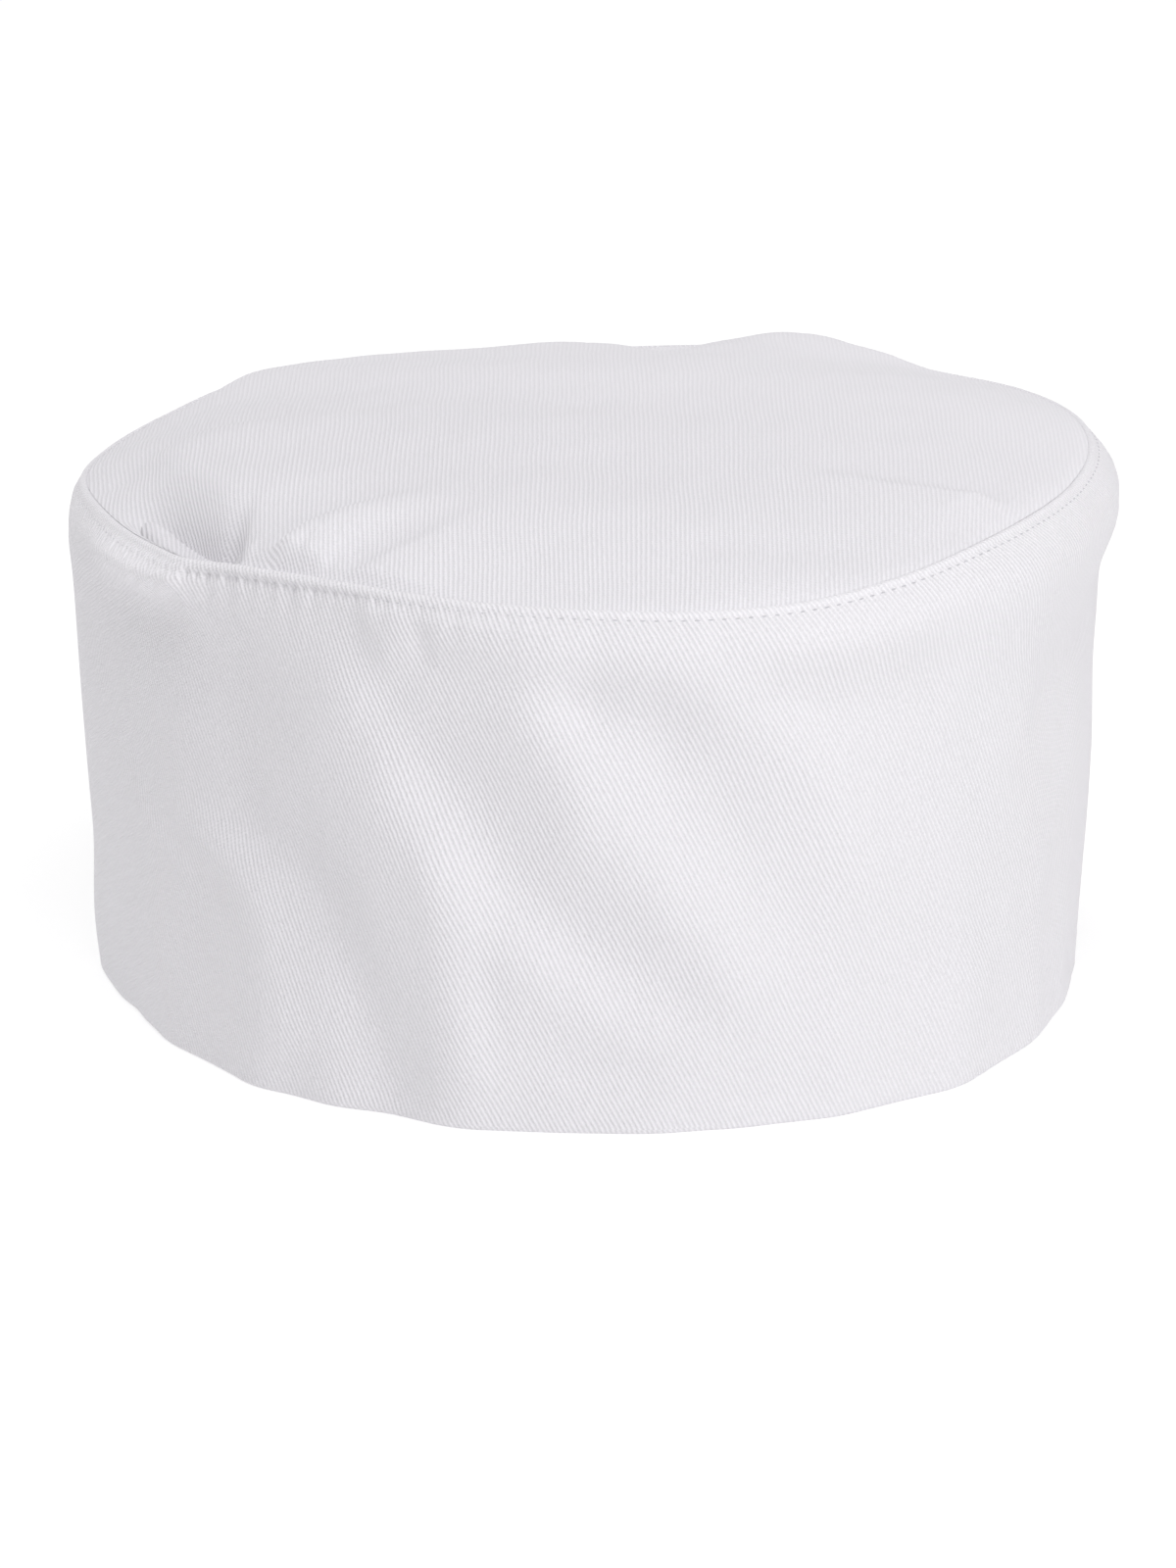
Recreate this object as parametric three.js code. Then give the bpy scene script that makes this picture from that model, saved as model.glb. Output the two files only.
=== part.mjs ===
// A chef's skull cap of white cotton drill, standing on its rim.
//
// Millimetres, +Z up. The front of the cap faces -Y and the origin is the middle of the rim.
// A turn is an angle round the cap in degrees: 0 at the front, 90 at +X, -90 at -X.
// A reach is the distance from the cap's upright middle line to the outer face of the cloth.
// The band and the top panel are two pieces: the panel's edge is turned down inside the band.

import * as THREE from 'three';

// Driving dimensions
const turnSteps = 90;         // steps round the cap
const bandWall = 1.8;         // two layers of drill
const panelWall = 1.3;        // one layer of drill, with the seam allowance pressed on to it
const seamGap = 0.5;          // between the panel's turned edge and the band
const hemRise = 0.9;          // height of the rounded fold at the rim and at the top edge
const hemRound = 0.27;        // how far that fold is rounded off at its corners
const rimInset = 0.5;         // from the outer face to the flat that the cap rests on
const edgeDrop = 0.4;         // from the band's top edge down to where the panel comes out
const allowance = 6.5;        // depth of the turned edge, from where the panel comes out
const crownMiddle = 100.5;    // height of the seam's plane at the middle of the panel
const crownLift = 11;         // how far the panel is puffed up above that plane
const crownFlatness = 3;      // higher is flatter in the middle and steeper at the seam
const planeFlatness = 2;      // the same for the way from the seam's height to the middle's
const meanReach = 95;         // turns the band's folds from degrees into millimetres
const boxMiddle = { x: 1.1, y: -0.9 };  // the middle of the cap's box, from the rim's own middle

// The rim is a little polygonal: soft corners, with nearly flat stretches between them
const cornerSoftness = 2.4;   // degrees to each side over which a corner is rounded
const turnSamples = 7;        // how many turns a mean is taken over
const cornerRise = 0.8;       // share of the height over which the corners fade out
const cornerCut = 0.8;        // above that, the wall lies this far inside the corners
const rimCorners = [
  { turn: -90, reach: 94.9 },
  { turn: -79, reach: 91.3 },
  { turn: -60.2, reach: 90.6 },
  { turn: -51.5, reach: 89.6 },
  { turn: -42.4, reach: 92.2 },
  { turn: -30, reach: 92.6 },
  { turn: -20.5, reach: 92.4 },
  { turn: -15.2, reach: 94.9 },
  { turn: 6.4, reach: 95.0 },
  { turn: 17.5, reach: 95.1 },
  { turn: 28.7, reach: 96.6 },
  { turn: 45, reach: 97.0 },
  { turn: 62, reach: 94.7 },
  { turn: 76, reach: 93.6 },
  { turn: 90, reach: 94.3 },
  { turn: 106, reach: 94.4 },
  { turn: 126, reach: 95.2 },
  { turn: 148, reach: 94.6 },
  { turn: 168, reach: 94.2 },
  { turn: 188, reach: 94.4 },
  { turn: 210, reach: 95.2 },
  { turn: 232, reach: 95.4 },
  { turn: 253, reach: 95.4 },
];

// Sections round the cap: where the seam is, how far the shoulder under it bulges, over which
// depth it swells out and over which it fades, and how far the wall bellies out halfway up
const sections = [
  { turn: -90, reach: 95.6, height: 96.7, shoulder: 3.2, swell: 4.0, drop: 26, belly: 1.8 },
  { turn: -76, reach: 93.0, height: 96.8, shoulder: 5.6, swell: 6.5, drop: 14, belly: 1.0 },
  { turn: -67, reach: 91.6, height: 97.1, shoulder: 8.0, swell: 7.0, drop: 10.5, belly: 0.4 },
  { turn: -59, reach: 91.5, height: 97.3, shoulder: 8.0, swell: 7.0, drop: 10, belly: 0.0 },
  { turn: -51, reach: 92.6, height: 97.7, shoulder: 2.6, swell: 4.0, drop: 9, belly: 0.0 },
  { turn: -44, reach: 91.6, height: 98.6, shoulder: 0.6, swell: 3.0, drop: 16, belly: 0.0 },
  { turn: -34, reach: 91.0, height: 99.2, shoulder: 0.4, swell: 3.0, drop: 20, belly: 0.4 },
  { turn: -24, reach: 92.0, height: 99.3, shoulder: 0.7, swell: 4.0, drop: 20, belly: 0.8 },
  { turn: -12, reach: 94.0, height: 99.0, shoulder: 1.5, swell: 4.5, drop: 16, belly: 0.8 },
  { turn: 0, reach: 95.9, height: 98.7, shoulder: 2.3, swell: 5.0, drop: 15, belly: 0.6 },
  { turn: 12, reach: 97.3, height: 98.3, shoulder: 2.8, swell: 5.0, drop: 15, belly: 0.6 },
  { turn: 24, reach: 97.3, height: 98.5, shoulder: 3.3, swell: 5.0, drop: 15, belly: 0.6 },
  { turn: 36, reach: 95.7, height: 99.9, shoulder: 4.5, swell: 5.0, drop: 16, belly: 0.6 },
  { turn: 48, reach: 93.2, height: 101.4, shoulder: 6.3, swell: 5.0, drop: 18, belly: 0.6 },
  { turn: 60, reach: 92.0, height: 102.2, shoulder: 7.8, swell: 5.0, drop: 20, belly: 0.8 },
  { turn: 75, reach: 92.8, height: 102.6, shoulder: 7.8, swell: 5.0, drop: 20, belly: 1.0 },
  { turn: 90, reach: 94.9, height: 103.0, shoulder: 7.8, swell: 5.0, drop: 20, belly: 2.4 },
  { turn: 105, reach: 96.6, height: 103.3, shoulder: 6.0, swell: 4.5, drop: 20, belly: 2.4 },
  { turn: 120, reach: 97.2, height: 102.9, shoulder: 4.2, swell: 3.0, drop: 22, belly: 2.0 },
  { turn: 135, reach: 96.4, height: 101.8, shoulder: 3.5, swell: 2.5, drop: 24, belly: 1.2 },
  { turn: 150, reach: 96.0, height: 103.0, shoulder: 3.0, swell: 2.5, drop: 24, belly: 1.0 },
  { turn: 165, reach: 95.2, height: 101.2, shoulder: 2.8, swell: 2.5, drop: 24, belly: 1.0 },
  { turn: 180, reach: 94.8, height: 99.8, shoulder: 2.8, swell: 2.5, drop: 24, belly: 1.0 },
  { turn: 195, reach: 94.8, height: 98.9, shoulder: 3.0, swell: 2.5, drop: 24, belly: 1.0 },
  { turn: 210, reach: 95.4, height: 99.3, shoulder: 3.2, swell: 2.5, drop: 24, belly: 1.0 },
  { turn: 225, reach: 96.2, height: 99.6, shoulder: 3.4, swell: 2.5, drop: 26, belly: 1.2 },
  { turn: 240, reach: 96.0, height: 97.2, shoulder: 3.6, swell: 3.0, drop: 28, belly: 1.6 },
  { turn: 255, reach: 95.4, height: 96.6, shoulder: 3.8, swell: 3.5, drop: 28, belly: 1.8 },
];

// Folds have a path, a width on the left and on the right of its way, and a rise. The drag
// folds of the band have paths through points of turn and height, and rise outward
const bandFolds = [
  { path: [[-14, 14], [-17, 40], [-20, 54], [-27, 76]], left: 9.5, right: 5.5, rise: 2.7 },
  { path: [[10, 18], [-4, 28], [-16, 48]], left: 4, right: 5, rise: 1.3 },
  { path: [[9, 21], [-1.5, 38], [-10, 56], [-24, 70]], left: 6, right: 6, rise: -1.6 },
  { path: [[16, 29], [11, 39], [1, 58], [-6, 80]], left: 5, right: 5.5, rise: 1.8 },
  { path: [[22, 42], [13, 60], [0, 84]], left: 5.5, right: 5.5, rise: -1.3 },
  { path: [[31, 48], [20, 75], [4, 89], [-20, 94]], left: 4.5, right: 5, rise: 1.5 },
  { path: [[-38, 14], [-42, 35], [-53, 49], [-61, 53]], left: 5, right: 4.5, rise: 1.1 },
  { path: [[-23, 6], [-31, 40], [-44, 50], [-68, 52]], left: 4.5, right: 4.5, rise: -1.2 },
  { path: [[-16, 10], [-24, 25], [-34, 42], [-49, 74]], left: 9, right: 8, rise: -1.5 },
  { path: [[-46, 62], [-43, 84]], left: 6, right: 6, rise: -0.6 },
  { path: [[-6, 14], [5, 11]], left: 3.5, right: 3.5, rise: -0.8 },
  { path: [[20, 91], [37, 90.5]], left: 4, right: 4, rise: 0.9 },
  { path: [[20, 81], [40, 80]], left: 5, right: 5, rise: -1.0 },
  { path: [[90, 84], [66, 70]], left: 6, right: 6, rise: -1.0 },
  { path: [[118, 82], [128, 60], [142, 36]], left: 8, right: 8, rise: -1.3 },
  { path: [[152, 78], [160, 52], [172, 30]], left: 9, right: 9, rise: 1.2 },
  { path: [[196, 84], [204, 58], [216, 34]], left: 9, right: 9, rise: -1.2 },
  { path: [[232, 76], [240, 54], [246, 30]], left: 8, right: 8, rise: 1.1 },
];
const foldClearance = 4;      // folds fade out over this depth under the seam
const seamCorner = 8;         // and the seam's own corners over this one
const seamSoftness = 12;      // degrees to each side over which they are evened out below
const backTurn = -100;        // where the turns of the band's folds start, clear of every fold

// Dents and puffs of the top panel. Paths go through points of x and y seen from above, and
// rise is upward
const crownFolds = [
  { path: [[-66, -38], [-70, -30], [-74, -22], [-76, -12]], left: 4, right: 13, rise: 3.4 },
  { path: [[-88, -10], [-83, 0], [-62, 6]], left: 3, right: 3, rise: -0.5 },
  { path: [[22, -74], [44, -71]], left: 3.5, right: 3.5, rise: -0.8 },
  { path: [[54, 72], [73, 49]], left: 5, right: 5, rise: -0.8 },
  { path: [[60, 72], [40, 80]], left: 9, right: 9, rise: 2.6 },
  { path: [[-66, 62], [-48, 76]], left: 8, right: 8, rise: 1.4 },
  { path: [[16.5, 92], [15.5, 70]], left: 5, right: 5, rise: -2.0 },
];

// Creases of the top panel that start at its seam and die out inwards
const crownCreases = [
  { path: [[-70.5, -56], [-76, -44], [-83.5, -19.5], [-82, -6.5]], left: 3, right: 4.6, rise: -5.0 },
  { path: [[-66, -62], [-64, -41]], left: 3, right: 2.5, rise: -3.5 },
  { path: [[-54, -69], [-46, -59], [-26, -49]], left: 2.5, right: 4.5, rise: 3.2 },
  { path: [[-48, -75], [-41, -62], [-22, -50]], left: 4.5, right: 3, rise: 2.6 },
  { path: [[-42, -81], [-30, -71], [-14, -56]], left: 2.5, right: 9, rise: 2.4 },
  { path: [[86, -39], [68, -47], [44, -43], [20, -38]], left: 14, right: 4, rise: 3.4 },
];
const creaseFade = 0.06;      // both fade out over this share of the reach at the seam

// The band's rows: even steps up to the shoulder, then these depths under the top edge. Both
// faces have rows at the two depths of the panel's turned edge, so the gap there is even
const shoulderDepth = 20;
const turnedDepths = [edgeDrop + allowance, edgeDrop + allowance / 2];
const outerSteps = 9;
const outerDepths = [15, 11, ...turnedDepths, 2.4, hemRise];
const innerSteps = 6;
const innerDepths = [13, ...turnedDepths, hemRise];

// Rings of the top panel, as shares of the way from its middle to the seam
const domeShares = [1, 0.975, 0.94, 0.89, 0.83, 0.76, 0.68, 0.59, 0.49, 0.38, 0.26, 0.13];
const ceilingShares = [0.15, 0.3, 0.45, 0.58, 0.7, 0.8, 0.88, 0.94, 1];

const fabricColour = 0xf3f1f4;
const fabricRoughness = 0.9;

const { clamp, degToRad, euclideanModulo, lerp, smoothstep } = THREE.MathUtils;

// One column of a table of turns, run smoothly through its rows and closed on itself
function around(rows, column, turn) {
  const first = rows[0].turn;
  const wanted = first + euclideanModulo(turn - first, 360);
  const row = (index) => {
    const source = rows[euclideanModulo(index, rows.length)];
    return { turn: source.turn + 360 * Math.floor(index / rows.length), value: source[column] };
  };
  let next = 1;
  while (row(next).turn <= wanted) next += 1;
  const [before, start, end, after] = [row(next - 2), row(next - 1), row(next), row(next + 1)];
  const span = end.turn - start.turn;
  const startSlope = (end.value - before.value) / (end.turn - before.turn) * span;
  const endSlope = (after.value - start.value) / (after.turn - start.turn) * span;
  const share = (wanted - start.turn) / span;
  const square = share * share;
  const cube = square * share;
  return (2 * cube - 3 * square + 1) * start.value + (cube - 2 * square + share) * startSlope
    + (3 * square - 2 * cube) * end.value + (cube - square) * endSlope;
}

// The mean of a measure over some degrees to each side of a turn
function evened(measure, turn, softness) {
  let total = 0;
  for (let sample = 0; sample < turnSamples; sample += 1) {
    const share = sample / (turnSamples - 1) * 2 - 1;
    total += measure(turn + share * softness);
  }
  return total / turnSamples;
}

// The reach of the polygon through the rim's corners, along straight chords
function chordReach(turn) {
  const first = rimCorners[0].turn;
  const wanted = first + euclideanModulo(turn - first, 360);
  const corner = (index) => {
    const source = rimCorners[index % rimCorners.length];
    return { turn: source.turn + (index < rimCorners.length ? 0 : 360), reach: source.reach };
  };
  let next = 1;
  while (corner(next).turn <= wanted) next += 1;
  const start = corner(next - 1);
  const end = corner(next);
  const spanSine = Math.sin(degToRad(end.turn - start.turn));
  const startSine = Math.sin(degToRad(wanted - start.turn));
  const endSine = Math.sin(degToRad(end.turn - wanted));
  return start.reach * end.reach * spanSine / (start.reach * startSine + end.reach * endSine);
}

// The same polygon with its corners softened
const rimReach = (turn) => evened(chordReach, turn, cornerSoftness);

// The reach of the wall over the rim and that of the seam, both without corners
const wallReach = (turn) => evened((at) => around(rimCorners, 'reach', at), turn, seamSoftness) - cornerCut;
const seamReach = (turn) => evened((at) => around(sections, 'reach', at), turn, seamSoftness);

// How much one fold raises the cloth at a point, a smooth ridge along its path, and how far
// along the path that point lies, as a share of its length
function foldAt({ path, left, right, rise }, x, y) {
  let nearest = Infinity;
  let done = 0;
  let along = 0;
  let width = left;
  for (let index = 1; index < path.length; index += 1) {
    const [startX, startY] = path[index - 1];
    const [endX, endY] = path[index];
    const length = Math.hypot(endX - startX, endY - startY);
    const wayX = (endX - startX) / length;
    const wayY = (endY - startY) / length;
    const run = clamp((x - startX) * wayX + (y - startY) * wayY, 0, length);
    const asideX = x - startX - run * wayX;
    const asideY = y - startY - run * wayY;
    const away = Math.hypot(asideX, asideY);
    if (away < nearest) {
      nearest = away;
      along = done + run;
      const side = away > 0 ? (wayX * asideY - wayY * asideX) / away : 0;
      width = lerp(right, left, (1 + side) / 2);
    }
    done += length;
  }
  return { raised: rise * Math.exp(-(nearest ** 2) / (2 * width ** 2)), along: along / done };
}

// The band's folds with their turns as millimetres round the cap
const arcLength = (turn) => degToRad(turn) * meanReach;
const bandFoldsInArc = bandFolds.map((fold) => ({
  ...fold,
  path: fold.path.map(([turn, height]) => [arcLength(turn), height]),
}));

function bandFoldRise(turn, height) {
  const nearTurn = backTurn + euclideanModulo(turn - backTurn, 360);
  let total = 0;
  for (const fold of bandFoldsInArc) total += foldAt(fold, arcLength(nearTurn), height).raised;
  return total;
}

// The outer face of the band at a turn and a height
function bandReach(turn, height) {
  const seamHeight = around(sections, 'height', turn);
  const share = clamp(height / seamHeight, 0, 1);
  const depth = Math.max(seamHeight - height, 0);
  const lower = lerp(rimReach(turn), wallReach(turn), smoothstep(share, 0, cornerRise));
  const seam = seamReach(turn);
  const corner = (around(sections, 'reach', turn) - seam) * Math.exp(-depth / seamCorner);
  const shoulder = around(sections, 'shoulder', turn)
    * (1 - Math.exp(-depth / around(sections, 'swell', turn)))
    * Math.exp(-((depth / around(sections, 'drop', turn)) ** 2));
  const belly = around(sections, 'belly', turn) * Math.sin(Math.PI * share);
  const folds = bandFoldRise(turn, height) * clamp(depth / foldClearance, 0, 1);
  return lerp(lower, seam, share) + corner + shoulder + belly + folds;
}

// The outer face of the top panel: its reach at the seam, and its height at a share of that
function panelReach(turn) {
  return bandReach(turn, around(sections, 'height', turn) - hemRise) - bandWall - seamGap;
}

function panelHeight(turn, share) {
  const seamHeight = around(sections, 'height', turn) - edgeDrop;
  const x = panelReach(turn) * share * Math.sin(degToRad(turn));
  const y = -panelReach(turn) * share * Math.cos(degToRad(turn));
  const plane = lerp(crownMiddle, seamHeight, share ** planeFlatness);
  const dome = crownLift * (1 - share ** crownFlatness);
  let folds = 0;
  for (const fold of crownFolds) folds += foldAt(fold, x, y).raised;
  for (const crease of crownCreases) {
    const { raised, along } = foldAt(crease, x, y);
    folds += raised * (1 - smoothstep(along, 0, 1));
  }
  return plane + dome + folds * clamp((1 - share) / creaseFade, 0, 1);
}

function place(turn, reach, height) {
  const angle = degToRad(turn);
  const x = reach * Math.sin(angle) - boxMiddle.x;
  const y = -reach * Math.cos(angle) - boxMiddle.y;
  return new THREE.Vector3(x, y, height);
}

// A closed body from rings of points. A ring with one point is a pole, and rings without
// poles close on themselves. Faces are split from their first corner, or across it
function ringBody(name, rings, splitAcross) {
  const positions = [];
  const firstIndex = rings.map((ring) => {
    const start = positions.length / 3;
    ring.forEach((point) => positions.push(point.x, point.y, point.z));
    return start;
  });
  const hasPoles = rings[0].length === 1;
  const triangles = [];
  for (let lower = 0; lower < rings.length - (hasPoles ? 1 : 0); lower += 1) {
    const upper = (lower + 1) % rings.length;
    for (let step = 0; step < turnSteps; step += 1) {
      const next = (step + 1) % turnSteps;
      const a = firstIndex[lower] + (rings[lower].length === 1 ? 0 : step);
      const b = firstIndex[lower] + (rings[lower].length === 1 ? 0 : next);
      const c = firstIndex[upper] + (rings[upper].length === 1 ? 0 : next);
      const d = firstIndex[upper] + (rings[upper].length === 1 ? 0 : step);
      if (a === b) triangles.push(a, c, d);
      else if (c === d) triangles.push(a, b, c);
      else if (splitAcross) triangles.push(a, b, d, b, c, d);
      else triangles.push(a, b, c, a, c, d);
    }
  }
  const geometry = new THREE.BufferGeometry();
  geometry.setAttribute('position', new THREE.Float32BufferAttribute(positions, 3));
  geometry.setIndex(triangles);
  geometry.computeVertexNormals();
  const material = new THREE.MeshStandardMaterial({
    color: fabricColour,
    roughness: fabricRoughness,
    metalness: 0,
  });
  const mesh = new THREE.Mesh(geometry, material);
  mesh.name = name;
  return mesh;
}

// One ring of points: pointAt gives the reach and the height at a turn
function ring(pointAt) {
  return Array.from({ length: turnSteps }, (_, step) => {
    const turn = step * 360 / turnSteps;
    const [reach, height] = pointAt(turn);
    return place(turn, reach, height);
  });
}

// The band: up its outer face, over the folded top edge, down inside, and under the rim
function sideBand() {
  const topHeight = (turn) => around(sections, 'height', turn);
  const stepPoint = (share, inward) => (turn) => {
    const height = lerp(hemRise, topHeight(turn) - shoulderDepth, share);
    return [bandReach(turn, height) - inward, height];
  };
  const depthPoint = (depth, inward) => (turn) => {
    const height = topHeight(turn) - depth;
    return [bandReach(turn, height) - inward, height];
  };
  const wallRings = (steps, depths, inward) => [
    ...Array.from({ length: steps + 1 }, (_, step) => ring(stepPoint(step / steps, inward))),
    ...depths.map((depth) => ring(depthPoint(depth, inward))),
  ];
  const topPoint = (inward, depth) => (turn) => {
    const [reach] = depthPoint(hemRise, inward)(turn);
    return [reach, topHeight(turn) - depth];
  };
  const rimPoint = (inward, height) => (turn) => [bandReach(turn, hemRise) - inward, height];
  const rings = [
    ...wallRings(outerSteps, outerDepths, 0),
    ring(topPoint(hemRound, hemRound)),
    ring(topPoint(bandWall / 2, 0)),
    ring(topPoint(bandWall - hemRound, hemRound)),
    ...wallRings(innerSteps, innerDepths, bandWall).reverse(),
    ring(rimPoint(bandWall - hemRound, hemRound)),
    ring(rimPoint(bandWall - rimInset, 0)),
    ring(rimPoint(rimInset, 0)),
    ring(rimPoint(hemRound, hemRound)),
  ];
  return ringBody('side_band', rings, false);
}

// The top panel: out along its underside, down inside the turned edge, up its outer face
// against the band, and in over the dome. It runs the other way round than the band's inner
// face, so its faces are split across and the gap between the two stays even
function topPanel() {
  const middle = (height) => [place(0, 0, height)];
  const underPoint = (share) => (turn) => {
    const reach = (panelReach(turn) - panelWall) * share;
    return [reach, panelHeight(turn, reach / panelReach(turn)) - panelWall];
  };
  const edgePoint = (depth, inward) => (turn) => {
    const height = around(sections, 'height', turn) - edgeDrop - depth;
    return [bandReach(turn, height) - bandWall - seamGap - inward, height];
  };
  const domePoint = (share) => (turn) => [panelReach(turn) * share, panelHeight(turn, share)];
  const rings = [
    middle(panelHeight(0, 0) - panelWall),
    ...ceilingShares.map((share) => ring(underPoint(share))),
    ring(edgePoint(allowance / 2, panelWall)),
    ring(edgePoint(allowance, panelWall)),
    ring(edgePoint(allowance, 0)),
    ring(edgePoint(allowance / 2, 0)),
    ring(edgePoint(hemRise - edgeDrop, 0)),
    ...domeShares.map((share) => ring(domePoint(share))),
    middle(panelHeight(0, 0)),
  ];
  return ringBody('top_panel', rings, true);
}

const chefHat = new THREE.Group();
chefHat.add(sideBand(), topPanel());

export default chefHat;
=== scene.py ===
import math

import bpy
import numpy as np
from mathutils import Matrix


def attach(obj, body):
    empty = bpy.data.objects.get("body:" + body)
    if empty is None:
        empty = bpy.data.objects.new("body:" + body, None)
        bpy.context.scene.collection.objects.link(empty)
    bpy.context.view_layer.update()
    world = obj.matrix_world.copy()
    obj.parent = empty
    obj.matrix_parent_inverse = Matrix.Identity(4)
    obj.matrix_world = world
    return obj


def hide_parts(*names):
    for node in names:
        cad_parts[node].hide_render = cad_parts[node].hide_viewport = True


# A chef's skull cap of white drill, standing on its rim. Shapes are worked out in millimetres
# and placed in metres. A turn is an angle round the cap in degrees, 0 at the front, 90 at +X.
# A reach is the distance from the cap's upright middle line to the outer face of the cloth.

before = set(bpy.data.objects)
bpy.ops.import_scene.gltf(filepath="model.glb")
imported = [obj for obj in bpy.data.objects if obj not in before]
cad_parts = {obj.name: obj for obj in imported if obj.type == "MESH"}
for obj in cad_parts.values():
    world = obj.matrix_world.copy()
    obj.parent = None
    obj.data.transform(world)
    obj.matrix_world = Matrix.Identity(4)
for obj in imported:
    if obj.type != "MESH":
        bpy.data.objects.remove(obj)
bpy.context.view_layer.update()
mm = 0.001
boxMiddle = (1.1, -0.9)         # middle of the cap's box from the rim's own middle, x and y
print("frame loaded:", ", ".join(sorted(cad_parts)))


# Camera

cameraView = dict(
    elevation=16.8,             # degrees above the horizon
    distance=1300.0,            # to the aim point
    aimHeight=50.0,
    focalPixels=6933.0,         # focal length in pixels of the picture
    pictureHeight=1600.0,
    aimAboveMiddle=67.0,        # pixels that the aim point lies above the picture's middle
    sensor=36.0,
    nearest=0.05,               # what it sees starts and ends at these distances, in metres
    furthest=50.0,
)


def makeCamera(v):
    data = bpy.data.cameras.new("camera")
    data.sensor_width = v["sensor"]
    data.lens = v["focalPixels"] * v["sensor"] / v["pictureHeight"]
    data.shift_y = -v["aimAboveMiddle"] / v["pictureHeight"]
    data.clip_start = v["nearest"]
    data.clip_end = v["furthest"]
    camera = bpy.data.objects.new("camera", data)
    tilt = math.radians(v["elevation"])
    camera.location = (
        -boxMiddle[0] * mm,
        (-boxMiddle[1] - v["distance"] * math.cos(tilt)) * mm,
        (v["aimHeight"] + v["distance"] * math.sin(tilt)) * mm,
    )
    camera.rotation_euler = (math.radians(90) - tilt, 0, 0)
    bpy.context.scene.collection.objects.link(camera)
    bpy.context.scene.camera = camera
    return camera


makeCamera(cameraView)
print("camera placed")


# The cap's shape

def named(columns, rows):
    # a table as one array for each of its columns
    return {name: np.array([row[i] for row in rows], float) for i, name in enumerate(columns)}


# The rim is a little polygonal: soft corners with nearly flat stretches between them
rim = named(("turn", "reach"), (
    (-90, 94.9), (-79, 91.3), (-60.2, 90.6), (-51.5, 89.6), (-42.4, 92.2), (-30, 92.6),
    (-20.5, 92.4), (-15.2, 94.9), (6.4, 95.0), (17.5, 95.1), (28.7, 96.6), (45, 97.0),
    (62, 94.7), (76, 93.6), (90, 94.3), (106, 94.4), (126, 95.2), (148, 94.6),
    (168, 94.2), (188, 94.4), (210, 95.2), (232, 95.4), (253, 95.4),
))

# Sections round the cap: where the seam is, how far the shoulder under it bulges, over which
# depth it swells out and over which it fades, and how far the wall bellies out halfway up
sections = named(("turn", "reach", "height", "shoulder", "swell", "drop", "belly"), (
    (-90, 95.9, 97.6, 3.2, 4.0, 26, 1.8),
    (-76, 93.0, 97.2, 7.6, 6.0, 11, 1.0),
    (-67, 91.6, 97.1, 12.5, 6.0, 8.2, 0.4),
    (-59, 91.5, 97.3, 13.0, 6.0, 7.4, 0.0),
    (-53.5, 92.4, 97.6, 8.0, 4.0, 6.6, 0.0),
    (-50, 92.6, 97.8, 1.8, 2.6, 10, 0.0),
    (-44, 91.6, 98.6, 0.6, 3.0, 16, 0.0),
    (-34, 91.0, 99.2, 0.4, 3.0, 20, 0.4),
    (-24, 92.0, 99.3, 0.7, 4.0, 20, 0.8),
    (-12, 94.0, 99.0, 1.5, 4.5, 16, 0.8),
    (0, 95.9, 98.7, 2.3, 5.0, 15, 0.6),
    (12, 97.3, 98.3, 2.8, 3.8, 15, 0.6),
    (24, 97.3, 98.5, 3.3, 3.5, 15, 0.6),
    (36, 95.7, 99.9, 4.5, 3.5, 16, 0.6),
    (48, 93.2, 101.4, 6.3, 3.6, 18, 0.6),
    (60, 92.0, 102.2, 7.8, 4.0, 20, 0.8),
    (75, 92.8, 102.6, 7.8, 4.5, 20, 1.0),
    (90, 94.9, 103.3, 7.8, 5.0, 20, 2.4),
    (105, 96.8, 103.7, 6.0, 4.5, 20, 2.4),
    (120, 97.3, 102.9, 4.2, 3.0, 22, 2.0),
    (135, 96.4, 101.8, 3.5, 2.5, 24, 1.2),
    (150, 96.0, 103.0, 3.0, 2.5, 24, 1.0),
    (165, 95.2, 101.2, 2.8, 2.5, 24, 1.0),
    (180, 94.8, 99.8, 2.8, 2.5, 24, 1.0),
    (195, 94.8, 98.9, 3.0, 2.5, 24, 1.0),
    (210, 95.4, 99.3, 3.2, 2.5, 24, 1.0),
    (225, 96.2, 99.6, 3.4, 2.5, 26, 1.2),
    (240, 96.0, 97.6, 3.6, 3.0, 28, 1.6),
    (255, 95.5, 97.3, 3.8, 3.5, 28, 1.8),
))

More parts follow.
